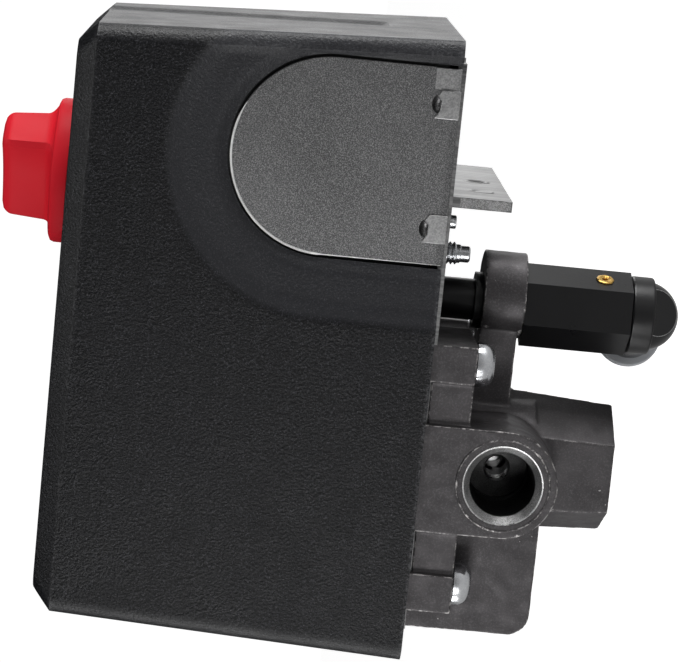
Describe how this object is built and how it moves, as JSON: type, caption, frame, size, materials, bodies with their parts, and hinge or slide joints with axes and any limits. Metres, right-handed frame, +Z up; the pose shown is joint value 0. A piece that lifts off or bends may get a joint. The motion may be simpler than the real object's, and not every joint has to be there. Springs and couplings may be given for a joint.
{
  "type": "pressure switch",
  "caption": "Air compressor pressure switch: moulded cover with a rotary on/off knob, die-cast manifold with taper ports and an unloader valve with a push-in elbow.",
  "frame": {"origin": "centre of the inlet port's mouth, on its axis", "axes": "+Z up the inlet port's axis towards the cover and knob, +X the cover's long direction, towards the unloader valve, -Y the way the front port opens"},
  "size_m": [0.1038, 0.06, 0.1185],
  "materials": {
    "cover": "fine grained, matt",
    "knob": "satin",
    "inner_plastic": "satin",
    "zinc_steel": "satin zinc, speckled",
    "bright_steel": "bright zinc",
    "casting": "rough die-cast, dark",
    "brass": "machined",
    "copper": "machined copper",
    "black_plastic": "satin",
    "grey_plastic": "satin",
    "rubber": "matt",
    "pressed_aluminium": "satin"
  },
  "bodies": {
    "frame": {"cover": "cover", "cover_screws": "bright_steel", "cover_posts": "zinc_steel", "base_plate": "zinc_steel", "side_plate_front": "zinc_steel", "side_plate_rear": "zinc_steel", "ground_stud": "bright_steel", "ground_nut": "brass", "small_rivet": "bright_steel", "manifold": "casting", "flange_screws": "bright_steel", "diaphragm": "rubber", "spring_tower": "zinc_steel", "pivot_pin": "bright_steel", "range_spring": "bright_steel", "terminal_block": "black_plastic", "fixed_contacts": "brass", "terminal_screws": "bright_steel", "carrier_guides": "bright_steel", "valve_body": "black_plastic", "stem_spring": "bright_steel", "bleed_insert": "brass", "valve_collar": "black_plastic"},
    "knob_body": {"knob": "knob", "knob_shaft": "inner_plastic", "knob_clip": "zinc_steel"},
    "piston_body": {"piston": "pressed_aluminium"},
    "lever_body": {"lever": "zinc_steel"},
    "carrier_body": {"contact_carrier": "inner_plastic", "contact_bridges": "copper", "bridge_springs": "bright_steel"},
    "stem_body": {"valve_stem": "bright_steel"},
    "adjuster_body": {"adjust_screw": "bright_steel"},
    "nut_body": {"spring_nut": "bright_steel"},
    "elbow_body": {"elbow": "black_plastic", "elbow_seal": "rubber"},
    "sleeve_body": {"elbow_sleeve": "grey_plastic"}
  },
  "joints": [
    {"name": "knob_turn", "type": "hinge", "parent": "frame", "child": "knob_body", "pos_m": [0.043, 0, 0.097], "axis": [0, 0, 1], "range_deg": [-50, 40]},
    {"name": "piston_lift", "type": "slide", "parent": "frame", "child": "piston_body", "axis": [0, 0, 1], "range_m": [0, 0.0012], "stiffness_N_per_m": 6000, "deforming": ["range_spring"]},
    {"name": "lever_swing", "type": "hinge", "parent": "frame", "child": "lever_body", "pos_m": [-0.019, 0, 0.0443], "axis": [0, -1, 0], "range_deg": [0, 3.63]},
    {"name": "carrier_lift", "type": "slide", "parent": "frame", "child": "carrier_body", "axis": [0, 0, 1], "range_m": [0, 0.0035]},
    {"name": "stem_lift", "type": "slide", "parent": "frame", "child": "stem_body", "axis": [0, 0, 1], "range_m": [0, 0.003], "deforming": ["stem_spring"]},
    {"name": "nut_travel", "type": "slide", "parent": "frame", "child": "nut_body", "axis": [0, 0, 1], "range_m": [0, 0.0016]},
    {"name": "adjuster_turn", "type": "hinge", "parent": "frame", "child": "adjuster_body", "pos_m": [0, 0, 0.0839], "axis": [0, 0, 1], "range_deg": [0, 722]},
    {"name": "elbow_swivel", "type": "hinge", "parent": "frame", "child": "elbow_body", "pos_m": [0.0274, 0, -0.0047], "axis": [0, 0, 1], "range_deg": [-150, 38]},
    {"name": "sleeve_press", "type": "slide", "parent": "elbow_body", "child": "sleeve_body", "axis": [0.3584, -0.9336, 0], "range_m": [0, 0.0012], "stiffness_N_per_m": 400}
  ],
  "couplings": [
    {"joint": "lever_swing", "follows": "piston_lift", "rad_per_m": 52.562},
    {"joint": "carrier_lift", "follows": "piston_lift", "ratio": 2.85},
    {"joint": "stem_lift", "follows": "piston_lift", "ratio": 2.4},
    {"joint": "adjuster_turn", "follows": "nut_travel", "rad_per_m": 7854}
  ]
}
